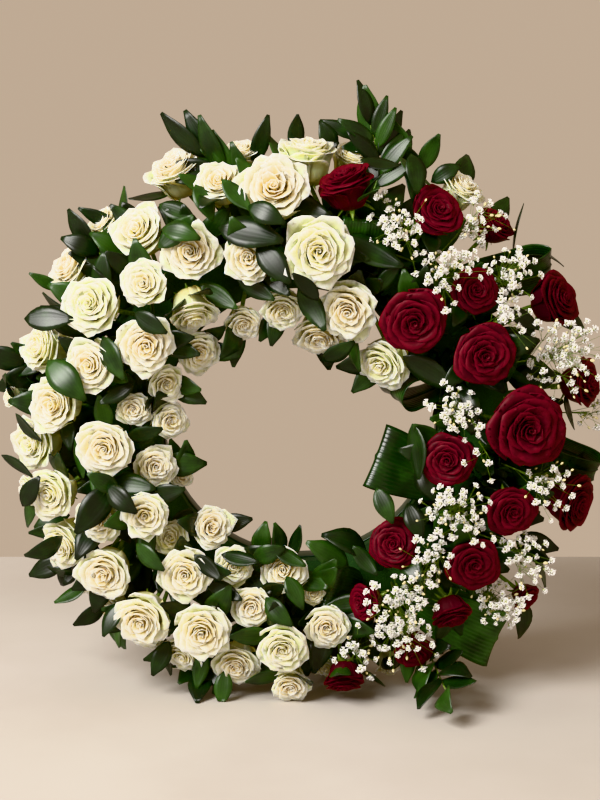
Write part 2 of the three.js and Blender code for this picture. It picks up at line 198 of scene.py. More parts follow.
# The foam ring: wet floral foam, pressed into its tray and pierced by every stem. It stays as packed, with
# its stem holes, and takes a crumbly green finish.
def add_math(tree, operation, *values):
    """A sum on two or three values or sockets. Returns its value socket."""
    return add_node(tree, "ShaderNodeMath", {"operation": operation}, dict(enumerate(values))).outputs[0]


def foam_material():
    """Floral foam: matt open-celled phenolic foam, dark where it is wet, with a fine crumb all over."""
    material, tree, shader = new_material("floral foam, wet open cells", Roughness=0.92)
    crumb = add_noise(tree, 900.0, 4.0)
    both = add_math(tree, "MULTIPLY", crumb, add_noise(tree, 18.0, 3.0))
    tone = add_ramp(tree, both, [(0.1, "#10200f"), (0.25, "#1d3a1b"), (0.45, "#335529")])
    tree.links.new(tone, shader.inputs["Base Color"])
    add_bump(tree, shader, crumb, 0.8, 0.0008)
    return material


wet_foam = foam_material()
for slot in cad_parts["foam_ring"].material_slots:
    slot.material = wet_foam


# The tray: one ring-shaped channel of moulded dark green plastic that holds the foam. Its flat back carries
# round stiffening ribs, and its edges are rounded where the mould parts.
tray_plastic = grained_material(
    "polypropylene, moulded satin", (9.0, 3.0), [(0.3, "#10261a"), (0.7, "#1a3524")],
    (700.0, 2.0), (0.25, 0.0002), Roughness=0.42, IOR=1.49,
)


def outward(clock):
    """The way out of the ring at a clock angle, read from the front in degrees from the top."""
    return Vector((math.sin(math.radians(clock)), 0, math.cos(math.radians(clock))))


class Skin:
    """Closed surfaces gathered into one piece: its points, its faces, and a colour mark on every point."""

    def __init__(self):
        self.points = []
        self.marks = []
        self.faces = []
        self.slots = []
        self.count = 0

    def add(self, points, faces, mark, slot=0):
        self.points.append(np.asarray(points, float))
        self.marks.append(np.broadcast_to(mark, (len(points), 4)))
        self.faces.extend(tuple(self.count + i for i in face) for face in faces)
        self.slots.extend([slot] * len(faces))
        self.count += len(points)

    def piece(self, name, materials):
        mesh = bpy.data.meshes.new(name)
        mesh.from_pydata(np.concatenate(self.points).tolist(), [], self.faces)
        marks = mesh.attributes.new("mark", "FLOAT_COLOR", "POINT")
        marks.data.foreach_set("color", np.concatenate(self.marks).astype(np.float32).ravel())
        for material in materials:
            mesh.materials.append(material)
        mesh.polygons.foreach_set("material_index", self.slots)
        mesh.polygons.foreach_set("use_smooth", [True] * len(self.faces))
        return add_object(name, mesh)


def rounded(corners, radius):
    """A closed outline with each corner turned into a short arc."""
    corners = [Vector(corner) for corner in corners]
    outline = []
    for before, corner, after in zip(corners[-1:] + corners[:-1], corners, corners[1:] + corners[:1]):
        start = corner + (before - corner).normalized() * min(radius, (before - corner).length * 0.45)
        end = corner + (after - corner).normalized() * min(radius, (after - corner).length * 0.45)
        for t in (0, 0.5, 1):
            outline.append(start * (1 - t) ** 2 + corner * 2 * t * (1 - t) + end * t ** 2)
    return outline


def belongs(piece, node=None):
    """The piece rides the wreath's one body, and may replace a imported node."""
    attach(piece, "root")
    if node:
        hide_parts(node)


def moulded_tray():
    outer = (tray_high.x - tray_low.x) / 2
    inner = outer - 0.09
    wall = 0.002
    edge_radius = 0.0009
    segments = 80
    groove_depth = 0.0008
    groove_spacing = 0.022
    front, back = tray_low.y, tray_high.y
    corners = [(inner, back), (inner, front), (inner + wall, front), (inner + wall, back - wall)]
    corners += [(outer - wall, back - wall), (outer - wall, front), (outer, front), (outer, back)]
    for groove in (3, 2, 1, 0):
        at = inner + 0.012 + groove_spacing * groove
        corners += [(at + 0.005, back), (at + 0.004, back - groove_depth), (at - 0.004, back - groove_depth)]
        corners += [(at - 0.005, back)]
    outline = rounded(corners, edge_radius)
    count = len(outline)
    points = []
    for i in range(segments):
        way = outward(i * 360 / segments)
        for radius, depth in outline:
            points.append((ring_centre.x + way.x * radius, depth, ring_centre.z + way.z * radius))
    faces = []
    for i in range(segments):
        near, far = i * count, (i + 1) % segments * count
        faces += [(near + k, far + k, far + (k + 1) % count, near + (k + 1) % count) for k in range(count)]
    skin = Skin()
    skin.add(points, faces, (0.5, 0.5, 0.5, 0.5))
    belongs(skin.piece("moulded_tray", [tray_plastic]), "tray_ring")


moulded_tray()


# The stand: two feet and a cross bar of flat steel, sawn, bent and powder coated black. The coating is thick
# enough to round every edge.
black_coat = grained_material(
    "mild steel, powder coated black", (25.0, 5.0), [(0.35, "#0e0e0f"), (0.75, "#1f1f20")],
    (420.0, 1.0), (0.3, 0.0003), Roughness=0.45, IOR=1.5,
)


def apply_modifiers(holder):
    """Puts the mesh that the modifiers make in place of the object's own."""
    bpy.context.view_layer.update()
    done = bpy.data.meshes.new_from_object(holder.evaluated_get(bpy.context.evaluated_depsgraph_get()))
    holder.modifiers.clear()
    holder.data = done


def coated_bar(name):
    """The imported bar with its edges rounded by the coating."""
    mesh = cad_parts[name].data.copy()
    mesh.transform(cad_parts[name].matrix_world)
    bar = add_object(f"{name}_coated", mesh)
    weld = bar.modifiers.new("weld", "WELD")
    weld.merge_threshold = 0.00001
    rounding = bar.modifiers.new("rounding", "BEVEL")
    rounding.width = 0.0008
    rounding.segments = 3
    rounding.limit_method = "ANGLE"
    apply_modifiers(bar)
    bar.data.materials.clear()
    bar.data.materials.append(black_coat)
    belongs(bar, name)


for bar_name in ("left_foot", "right_foot", "cross_bar"):
    coated_bar(bar_name)


# Roses, white and red: long-stemmed garden-type roses, cut short and wired into picks of one to four, their
# stems pushed into the foam. Each is a cone of wrapped petals with wider and wider ones opening round it.
forward = Vector((0, -1, 0))
millimetre = 0.001
core_radius = 0.209
fullness = 1.12  # every head's width over its planned width
face_share = 0.7  # a head looks out by this share of its stem's lean, and the rest of the way forward
white_picks = [
    [[334, 91, 124, 60], [343, 55, 115, 52], [348, 92, 120, 42]],
    [[11, 92, 112, 48], [2, 67, 115, 66, 2, 80], [355, 37, 122, 76], [34, 92, 128, 50]],
    [[322, 50, 115, 60], [316, 89, 120, 48], [305, 88, 115, 60]],
    [[306, 33, 118, 64], [315, 24, 112, 52], [302, -3, 112, 64]],
    [[329, 16, 108, 62], [321, -9, 100, 54, 345, -55], [312, -32, 92, 48]],
    [[342, 7, 108, 54], [335, -39, 95, 40], [351, -37, 95, 48]],
    [[6, 4, 118, 76], [22, -20, 112, 64], [12, -61, 98, 58], [48, -47, 105, 60]],
    [[288, 72, 110, 60], [278, 40, 112, 62], [276, 83, 136, 26]],
    [[289, 25, 112, 58], [291, -24, 95, 42], [280, -11, 90, 38]],
    [[280, -33, 92, 42], [269, 6, 115, 64], [259, -23, 95, 48], [251, -43, 85, 28]],
    [[267, 57, 110, 60], [257, 43, 112, 58], [257, 80, 122, 36]],
    [[247, 25, 105, 52], [245, 54, 112, 60], [234, 77, 113, 28], [233, 29, 115, 60]],
    [[243, -2, 108, 52], [231, -12, 98, 38], [223, -30, 98, 48], [220, 0, 115, 58]],
    [[223, 29, 118, 64], [227, 60, 112, 36], [217, 50, 112, 36]],
    [[205, -18, 100, 46], [208, 11, 118, 64], [208, 44, 115, 48], [196, 0, 110, 48]],
    [[187, -23, 100, 52], [186, 13, 120, 58], [196, 31, 118, 52], [183, 34, 142, 42]],
    [[175, 7, 112, 48], [177, -17, 90, 28], [174, 44, 100, 28], [159, 74, 102, 36]],
]
red_picks = [
    [9, 46, 125, 72, 340, 75],
    [31, 51, 120, 64],
    [44, 89, 122, 52],
    [49, 27, 115, 58],
    [63, 78, 130, 72],
    [39, -11, 120, 78],
    [66, 11, 125, 76],
    [81, 83, 131, 64],
    [84, 19, 135, 96],
    [97, -18, 118, 66],
    [138, -23, 115, 62],
    [108, 21, 125, 64],
    [105, 73, 130, 76],
    [125, 16, 125, 66],
    [159, -2, 112, 48, 270, 50],
    [139, 29, 125, 52, 160, 60],
    [152, 36, 125, 52, 175, 35],
    [170, 37, 143, 52, 175, 60],
    [127, 76, 134, 40],
]


def direction(clock, lean):
    """The way a stem points: lean tips it from straight forward (0) to outward (90) or inward (-90)."""
    return outward(clock) * math.sin(math.radians(lean)) + Vector((0, -math.cos(math.radians(lean)), 0))


def place(clock, lean, reach):
    """A point reached by a stem of that many millimetres from the ring's core circle."""
    return ring_centre + outward(clock) * core_radius + direction(clock, lean) * reach * millimetre


def head_of(row):
    clock, lean, reach, planned_width = row[:4]
    face = direction(*(row[4:] or (clock, face_share * lean)))
    width = fullness * planned_width * millimetre
    return {"middle": place(clock, lean, reach), "lean": lean, "face": face, "width": width}


def settle(heads):
    """Heads that would share the same space press each other apart, and none goes below the floor."""
    rounds = 60
    for _ in range(rounds):
        for i, one in enumerate(heads):
            for other in heads[i + 1:]:
                apart = other["middle"] - one["middle"]
                overlap = (one["width"] + other["width"]) / 2 - apart.length
                if overlap > 0:
                    push = apart.normalized() * overlap / 2
                    one["middle"] -= push
                    other["middle"] += push
        for head in heads:
            head["middle"].z = max(head["middle"].z, head["width"] / 2)


neck_drop = 0.3  # a head's base is this share of its width below its middle


def neck_of(head):
    return head["middle"] - neck_drop * head["width"] * head["face"]


def foot_of(heads, depth):
    away = sum((head["middle"] for head in heads), Vector()) / len(heads) - ring_centre
    clock = math.degrees(math.atan2(away.x, away.z))
    return place(clock, sum(head["lean"] for head in heads) / len(heads), depth)


def shell_faces(rows, columns):
    """The faces of a thin closed shell over a grid: its front, its back, and the rim between them."""
    back = rows * columns
    faces = []
    for i in range(rows - 1):
        for j in range(columns - 1):
            a, b = i * columns + j, i * columns + j + 1
            c, d = b + columns, a + columns
            faces += [(a, b, c, d), (back + d, back + c, back + b, back + a)]
    rim = list(range(columns))
    rim += [i * columns + columns - 1 for i in range(1, rows)]
    rim += [(rows - 1) * columns + j for j in range(columns - 2, -1, -1)]
    rim += [i * columns for i in range(rows - 2, 0, -1)]
    faces += [(b, a, back + a, back + b) for a, b in zip(rim, rim[1:] + rim[:1])]
    return faces


def shell_points(grid, thickness):
    """Front and back points of a sheet of that thickness on a (rows, columns, 3) grid."""
    normal = np.cross(np.gradient(grid, axis=1), np.gradient(grid, axis=0))
    normal /= np.maximum(np.linalg.norm(normal, axis=2, keepdims=True), 1e-9)
    both = [grid + normal * thickness / 2, grid - normal * thickness / 2]
    return np.concatenate([side.reshape(-1, 3) for side in both])


def sheet_axes(rows, columns):
    """Across a sheet from -1 to 1, as a row, and along it from 0 to 1, as a column."""
    return np.linspace(-1, 1, columns)[None, :], np.linspace(0, 1, rows)[:, None]


def add_sheet(skin, grid, thickness, mark, slot=0):
    """A thin closed sheet over a grid. Its four marks are values, or arrays that spread over the grid."""
    rows, columns = grid.shape[:2]
    marks = np.stack([np.broadcast_to(part, (rows, columns)) for part in mark], axis=2).reshape(-1, 4)
    skin.add(shell_points(grid, thickness), shell_faces(rows, columns), np.concatenate([marks, marks]), slot)


def ease(start, end, value):
    share = np.clip((value - start) / (end - start), 0, 1)
    return share * share * (3 - 2 * share)


def petal_grid(age, kind, chance):
    """One petal of a rose of radius 1 that faces +Z. Age runs from 0, in the heart, to 1, the outermost."""
    rise = np.linspace(0, 1, 60)
    start = np.interp(age, [0, 0.35, 1], [14, 52, 88])
    middle = np.interp(age, [0, 0.3, 0.7, 1], [-9, -6, -1, 4]) + kind["opening"] * age
    roll = np.interp(age, [0, 0.2, 0.5, 1], [34, 62, 78, 96]) * kind["reflex"] * chance.uniform(0.8, 1.2)
    bend = 0.82 - 0.20 * age
    slope = start + (middle - start) * ease(0.0, 0.52, rise) + roll * ease(bend, 1.0, rise) ** 1.2
    length = np.interp(age, [0, 0.3, 0.6, 1], [1.28, 1.40, 1.50, 1.56]) * chance.uniform(0.95, 1.05)
    step = length / (len(rise) - 1)
    radius = 0.02 + 0.06 * age + np.cumsum(np.sin(np.radians(slope))) * step
    height = -0.78 + 0.02 * (1 - age) + np.cumsum(np.cos(np.radians(slope))) * step

    u, v = sheet_axes(rows=8 if age > 0.4 else 6, columns=11 if age > 0.5 else 7)
    v = v ** 0.75
    tip = 1 - kind["rounding"] * np.abs(u) ** 2.6 + kind["point"] * age * np.exp(-((u / 0.2) ** 2))
    along = v * tip / (1 + kind["point"] * age)
    r = np.interp(along, rise, radius)
    z = np.interp(along, rise, height)
    fullest = np.sin(np.minimum(v / 0.7, 1) * math.pi / 2)
    breadth = np.interp(age, [0, 0.4, 1], [0.30, 0.62, 0.92]) * (0.3 + 0.7 * fullest)
    widest = math.radians(np.interp(age, [0, 0.3, 1], [150, 100, 64]))
    half = np.minimum(breadth / np.maximum(r, 0.06), widest)
    tuck = np.interp(age, [0, 0.4, 1], [0.42, 0.16, 0.06])
    edge = np.abs(u) ** 3 * v ** 2 * ease(0.3, 1.0, age)
    slow = np.sin(math.pi * (kind["waves"] * u + chance.uniform(0, 2)))
    quick = np.sin(math.pi * (2.7 * kind["waves"] * u + chance.uniform(0, 2)))
    wave = (slow + 0.6 * quick) * v ** 5 * kind["ruffle"] * (0.4 + age)
    r = r * (1 + tuck * u) + edge * kind["edge_roll"] + wave
    z = z - edge * kind["edge_roll"] * 0.7 + wave * 0.6
    angle = half * u
    return np.stack([r * np.cos(angle), r * np.sin(angle), z], axis=2), u, v


def turn_to(way, spin):
    """The rotation that takes +Z to a direction, with a spin about it first, as a 3 by 3 array."""
    turn = Vector((0, 0, 1)).rotation_difference(way) @ Quaternion((0, 0, 1), spin)
    return np.array(turn.to_matrix())


golden_angle = math.radians(137.5)
petal_thickness = 0.00045
sepal_thickness = 0.0006
floor_gap = 0.001  # petals and leaves are kept this far above the floor


def set_on_head(grid, heading, tilt, radius, turn, head):
    """A petal or sepal of a rose of radius 1, swung round to a heading and set on its head."""
    cos, sin = math.cos(heading), math.sin(heading)
    swing = np.array([[cos, -sin, 0], [sin, cos, 0], [tilt, tilt, 1]])
    return grid @ swing.T * radius @ turn.T + np.array(head["middle"])


def add_bloom(skin, head, kind, chance):
    """The petals of one rose. Each point is marked with its petal's age, its place along and across it, and
    the rose's own tint."""
    radius = head["width"] / 2 * kind["spread"]
    turn = turn_to(head["face"], chance.uniform(0, 6.28))
    tint = chance.uniform(0, 1)
    for i in range(kind["petals"]):
        age = i / (kind["petals"] - 1)
        grid, u, v = petal_grid(age, kind, chance)
        heading = i * golden_angle + chance.uniform(-0.16, 0.16)
        grid = set_on_head(grid, heading, chance.uniform(-0.06, 0.06), radius, turn, head)
        grid[..., 2] = np.maximum(grid[..., 2], floor_gap)
        own = 0.7 * tint + 0.3 * chance.uniform(0, 1)
        add_sheet(skin, grid, petal_thickness, (age, v, (u + 1) / 2, own))


def tube(points, radii, sides):
    """A closed round stem through points, with a radius at each."""
    points = [Vector(p) for p in points]
    rings = []
    side = (points[1] - points[0]).orthogonal().normalized()
    for i, point in enumerate(points):
        along = (points[min(i + 1, len(points) - 1)] - points[max(i - 1, 0)]).normalized()
        side = (side - along * side.dot(along)).normalized()
        other = along.cross(side)
        for k in range(sides):
            a = 2 * math.pi * k / sides
            rings.append(point + (side * math.cos(a) + other * math.sin(a)) * radii[i])
    faces = []
    for i in range(len(points) - 1):
        for k in range(sides):
            a, b = i * sides + k, i * sides + (k + 1) % sides
            faces.append((a, b, b + sides, a + sides))
    faces.append(tuple(range(sides - 1, -1, -1)))
    faces.append(tuple(len(rings) - sides + k for k in range(sides)))
    return np.array([p[:] for p in rings]), faces


join_step = 0.009
rose_stem = 0.005
green_mark = (0.5, 0.5, 0.5, 0.5)


def add_stems(skin, heads, foot, chance):
    """Stems from the foam to each head, and the green hip with five sepals under it."""
    main = (neck_of(heads[0]) - foot).normalized()
    for i, head in enumerate(heads):
        start = foot + main * join_step * i
        neck = neck_of(head)
        skin.add(*tube([start, start.lerp(neck, 0.5), neck], [rose_stem / 2] * 3, 8), green_mark, 1)
        radius = head["width"] / 2
        hip = [neck + head["face"] * radius * h for h in (-0.16, -0.10, 0.0, 0.06)]
        skin.add(*tube(hip, [radius * r for r in (0.06, 0.13, 0.17, 0.10)], 8), green_mark, 1)
        turn = turn_to(head["face"], chance.uniform(0, 6.28))
        sepals = 5
        for k in range(sepals):
            u, v = sheet_axes(rows=6, columns=3)
            spread = 0.1 + 0.5 * v
            drop = -0.62 + 0.10 * v - 0.34 * v ** 2
            across = 0.1 * u * (1 - v) ** 0.7 + 0.012 * u
            grid = np.stack([spread + 0 * u, across, drop + 0 * u], axis=2)
            grid = set_on_head(grid, k * 2 * math.pi / sepals, 0, radius, turn, head)
            add_sheet(skin, grid, sepal_thickness, green_mark, 1)


def add_mix(tree, factor, first, second, blend="MIX"):
    mix = add_node(tree, "ShaderNodeMix", {"data_type": "RGBA", "blend_type": blend}, {
        0: factor, 6: first, 7: second,
    })
    return mix.outputs[2]


def read_marks(tree):
    """The sockets of a piece's four marks."""
    mark = add_node(tree, "ShaderNodeAttribute", {"attribute_name": "mark"})
    parts = add_node(tree, "ShaderNodeSeparateColor", inputs={"Color": mark.outputs["Color"]})
    return *parts.outputs, mark.outputs["Alpha"]


def petal_material(name, hearts, bodies, outer, base, rim, roughness, sheen, sheen_tint, glow):
    """Living rose petal: soft matt skin, light passing through it, deeper in the heart and at its base. The
    hearts and bodies of the coolest, middle and warmest rose are given. On the red roses the darker base
    tone is painted shade deep in the flower, and the brighter rim tone is a painted highlight on the edges."""
    material, tree, shader = new_material(
        name, Roughness=roughness, IOR=1.38, Specular_IOR_Level=0.35,
        Sheen_Weight=sheen, Sheen_Roughness=0.4, Sheen_Tint=linear(sheen_tint),
        Subsurface_Weight=glow, Subsurface_Radius=(0.006, 0.0045, 0.003), Subsurface_Scale=1.0,
    )
    age, along, across, own = read_marks(tree)
    uneven = add_math(tree, "MULTIPLY_ADD", add_noise(tree, 110.0, 3.0), 0.3, -0.15)
    old = add_math(tree, "ADD", age, uneven)
    run = add_math(tree, "ADD", along, uneven)
    fresh = add_ramp(tree, own, list(zip((0, 0.5, 1), bodies)))
    heart = add_ramp(tree, own, list(zip((0, 0.4, 1), hearts)))
    black, white = "#000000", "#ffffff"
    aged = add_ramp(tree, old, [(0.2, black), (0.8, white)])
    outermost = add_ramp(tree, old, [(0.78, black), (1.0, white)])
    # base and rim tones; on red roses, painted shade deep in the flower and a painted highlight at the rim
    near_base = add_ramp(tree, run, [(0.2, white), (0.7, black)])
    near_rim = add_ramp(tree, run, [(0.9, black), (1.05, white)])
    colour = add_mix(tree, aged, heart, fresh)
    for factor, tone in ((outermost, outer), (near_base, base), (near_rim, rim)):
        colour = add_mix(tree, factor, colour, linear(tone))
    grain = add_node(tree, "ShaderNodeCombineXYZ", inputs={"X": across, "Y": own})
    vein_lines = add_node(tree, "ShaderNodeTexNoise", inputs={
        "Vector": grain.outputs[0], "Scale": 34.0, "Detail": 2.0, "Roughness": 0.7,
    }).outputs["Fac"]
    vein_tone = add_ramp(tree, vein_lines, [(0.3, "#dedcd6"), (0.6, "#ffffff")])
    veined = add_mix(tree, 0.4, colour, vein_tone, "MULTIPLY")
    tree.links.new(veined, shader.inputs["Base Color"])
    add_bump(tree, shader, vein_lines, 0.3, 0.0004)
    return material


def stem_material(name):
    """Smooth green skin, slightly waxy, streaked lighter along its length."""
    streaks = [(0.3, "#3f5a22"), (0.5, "#5c7a30"), (0.7, "#87994a")]
    return grained_material(name, (260.0, 3.0), streaks, Roughness=0.45, IOR=1.45)


rose_stem_skin = stem_material("rose stem, waxy green skin")
white_petal = petal_material(
    "white rose petal, soft cream skin",
    hearts=("#dfe39a", "#ecdc94", "#ecd094"), bodies=("#e4ecb6", "#f4f2cc", "#f5edcc"),
    outer="#dae0a4", base="#dfc474", rim="#fcf8e6",
    roughness=0.5, sheen=0.1, sheen_tint="#fff6e0", glow=0.6,
)
red_petal = petal_material(
    "red rose petal, crimson velvet",
    hearts=("#3a020e", "#440311", "#4e0414"), bodies=("#380310", "#460414", "#580719"),
    # base is painted shade deep in the flower, rim a painted highlight on the rolled edges
    outer="#420413", base="#38020d", rim="#60081c",
    roughness=0.55, sheen=0.22, sheen_tint="#b41c38", glow=0.04,
)
white_kind = {
    "petals": 32, "opening": 1, "reflex": 0.85, "rounding": 0.20, "point": 0.05,
    "waves": 1.3, "ruffle": 0.045, "edge_roll": 0.12, "spread": 1.08,
}
red_kind = {
    "petals": 30, "opening": 5, "reflex": 1.1, "rounding": 0.22, "point": 0.04,
    "waves": 0.9, "ruffle": 0.022, "edge_roll": 0.16, "spread": 0.88,
}

white_heads = [[head_of(row) for row in pick] for pick in white_picks]
red_heads = [[head_of(row)] for row in red_picks]
all_heads = [head for pick in white_heads + red_heads for head in pick]
settle(all_heads)


def make_roses(colour, picks, depth, kind, petal):
    chance = np.random.default_rng(7)
    for i, heads in enumerate(picks):
        number = f"{i + 1:02d}"
        skin = Skin()
        for head in heads:
            add_bloom(skin, head, kind, chance)
        add_stems(skin, heads, foot_of(heads, depth), chance)
        roses = skin.piece(f"{colour}_rose_blooms_{number}", [petal, rose_stem_skin])
        belongs(roses, f"{colour}_roses_{number}")


make_roses("white", white_heads, depth=8, kind=white_kind, petal=white_petal)
make_roses("red", red_heads, depth=24, kind=red_kind, petal=red_petal)


# Aspidistra folds: long strap leaves bent double, with stalk and tip both pushed into the foam to make loops
# among the roses. Each row is a leaf's name, where it leaves the foam and where its crown is, its width and
# spread in millimetres, its turn in degrees, and its shade.
aspidistra_folds = [
    ["inner_upper", [70, -20], [65, -58, 110], 58, 34, 70, 0.45],
    ["inner_lower", [112, -25], [107, -66, 128], 78, 22, 15, 0.40],
    ["bottom", [161, -12], [169, -19, 92], 58, 24, 10, 0.45],
    ["lower_right", [151, 60], [137, 75, 146], 74, 22, 5, 0.85],
    ["upper_right", [43, 41], [57, 87, 147], 60, 24, 45, 0.60],
    ["right", [90, 60], [98, 79, 153], 50, 20, 50, 0.40],
    ["top", [18, 12], [17, 29, 112], 56, 20, 10, 0.60],
]
fold_depth = 22
fold_stalk = 8


def leaf_material(name, dark, body, light, ribs, rib_depth, roughness):
    """Leathery evergreen leaf: a waxy coat over deep green, with fine ribs that run from stalk to tip."""
    material, tree, shader = new_material(
        name, Roughness=roughness, IOR=1.45, Coat_Weight=0.15, Coat_Roughness=0.3,
        Subsurface_Weight=0.06, Subsurface_Radius=(0.001, 0.002, 0.0005), Subsurface_Scale=1.0,
    )
    across, _, base_shade, _ = read_marks(tree)
    own = add_node(tree, "ShaderNodeAttribute", {"attribute_name": "own shade"})
    rib_wave = add_math(tree, "SINE", add_math(tree, "MULTIPLY", across, ribs * 2 * math.pi))
    lift = add_math(tree, "MULTIPLY_ADD", rib_wave, 0.03, add_noise(tree, 45.0, 4.0))
    shade = add_math(tree, "ADD", base_shade, own.outputs["Fac"])
    varied = add_math(tree, "MULTIPLY_ADD", shade, 0.6, lift)
    tone = add_ramp(tree, add_math(tree, "SUBTRACT", varied, 0.3), [(0.2, dark), (0.5, body), (0.9, light)])
    tree.links.new(tone, shader.inputs["Base Color"])
    add_bump(tree, shader, rib_wave, 0.5, rib_depth)
    return material


def smooth_path(points, count):
    """A smooth curve through points: (count, 3) places spaced evenly along it, with its ways along."""
    points = np.array([tuple(p) for p in points], float)
    ends = np.concatenate([[2 * points[0] - points[1]], points, [2 * points[-1] - points[-2]]])
    fine = []
    for i in range(1, len(ends) - 2):
        a, b, c, d = ends[i - 1:i + 3]
        for t in np.linspace(0, 1, 20, endpoint=False):
            square, cube = 2 * a - 5 * b + 4 * c - d, 3 * b - a - 3 * c + d
            fine.append(0.5 * (2 * b + (c - a) * t + square * t ** 2 + cube * t ** 3))
    fine.append(ends[-2])
    fine = np.array(fine)
    run = np.concatenate([[0], np.cumsum(np.linalg.norm(np.diff(fine, axis=0), axis=1))])
    at = np.linspace(0, run[-1], count)
    path = np.stack([np.interp(at, run, fine[:, k]) for k in range(3)], axis=1)
    way = np.gradient(path, axis=0)
    return path, way / np.linalg.norm(way, axis=1, keepdims=True)


aspidistra_skin = leaf_material(
    "aspidistra leaf, ribbed and waxy", "#071507", "#132e10", "#3a662c",
    ribs=15, rib_depth=0.0003, roughness=0.3,
)
aspidistra_thickness = 0.0008


def make_fold(name, root, crown, width, spread, turn, shade, chance):
    foot = place(*root, fold_depth)
    along = place(*crown) - foot
    height = along.length * 1000
    along.normalize()
    across = along.cross(forward).normalized()
    across.rotate(Quaternion(along, math.radians(turn)))
    apart = along.cross(across)
    route = [
        (0, -fold_stalk), (0.5 * height, -spread / 2), (0.85 * height, -spread / 2), (height, 0),
        (0.85 * height, spread / 2), (0.5 * height, spread / 2), (0, fold_stalk),
    ]
    rows, columns = 49, 19
    points = [foot + along * up * millimetre + apart * out * millimetre for up, out in route]
    path, way = smooth_path(points, rows)
    u, t = (axis[..., None] for axis in sheet_axes(rows, columns))
    half = (fold_stalk + (width - fold_stalk) * np.sqrt(np.sin(math.pi * t))) / 2000
    side = np.array(across)[None, None, :]
    out = np.cross(way, np.array(across))[:, None, :]
    sag = 0.0022 * (1 - u ** 2) - 0.0016 * np.exp(-((u / 0.08) ** 2))
    flutter = 0.0012 * np.sin(9 * math.pi * t + chance.uniform(0, 6)) * np.abs(u) ** 3
    grid = path[:, None, :] + side * u * half + out * (sag + flutter) * np.sin(math.pi * t)
    skin = Skin()
    add_sheet(skin, grid, aspidistra_thickness, ((u[..., 0] + 1) / 2, t[..., 0], shade, 0.5))
    leaf = skin.piece(f"aspidistra_leaf_{name}", [aspidistra_skin])
    belongs(leaf, f"aspidistra_{name}")


fold_chance = np.random.default_rng(3)
for fold in aspidistra_folds:
    make_fold(*fold, fold_chance)


# Butcher's broom: thin woody stems with stiff, pointed, parallel-veined leaves to either side. Each row is a
# sprig's name, where it leaves the foam, its bend and tip, how many leaves it has, and their millimetres.
broom_sprigs = [
    ["top_right", [16, 68], [17, 82, 110], [13, 86, 158], 12, 60],
    ["top_left", [353, 74], [345, 82, 96], [341, 86, 130], 7, 74],
    ["left_top", [311, 70], [311, 72, 90], [312, 78, 120], 7, 58],
    ["left", [286, 82], [283, 84, 90], [283, 84, 125], 7, 60],
    ["lower_left", [240, 74], [240, 76, 90], [240, 82, 118], 7, 56],
    ["lower_front", [204, 62], [204, 60, 90], [202, 56, 122], 7, 56],
    ["trailing", [153, 64], [150, 54, 112], [149, 33, 208], 9, 60],
]
narrow_sprigs = ("top_right", "top_left")
broom_depth = 22
broom_stem = 0.003
broom_leaf_skin = leaf_material(
    "butcher's broom leaf, waxy with parallel veins", "#081507", "#10250d", "#2a4a1b",
    ribs=7, rib_depth=0.00005, roughness=0.42,
)
broom_stem_skin = stem_material("butcher's broom stem, green wood")


def leaf_template(name, breadth, bow):
    """One leaf of length 1 along +Z, facing +Y: a closed thin blade with a folded midrib and a bowed tip."""
    u, v = sheet_axes(rows=9, columns=5)
    half = 0.5 * breadth * np.sin(math.pi * np.minimum(v, 0.97) ** 0.86) ** 0.9 + 0.012
    lift = bow * np.sin(math.pi * v * 0.9) - 0.10 * bow * v
    lift = lift + 0.06 * breadth * np.abs(u) * np.sin(math.pi * v)
    grid = np.stack([half * u, lift + 0 * u, v + 0 * u], axis=2)
    skin = Skin()
    add_sheet(skin, grid, 0.012, ((u + 1) / 2, v, 0, 1))
    return skin.piece(name, [broom_leaf_skin])


leaf_shapes = [
    leaf_template("leaf_shape_flat", 0.48, 0.06),
    leaf_template("leaf_shape_bowed", 0.52, 0.17),
    leaf_template("leaf_shape_hollow", 0.42, -0.08),
]
narrow_shape = leaf_template("leaf_shape_narrow", 0.32, 0.06)


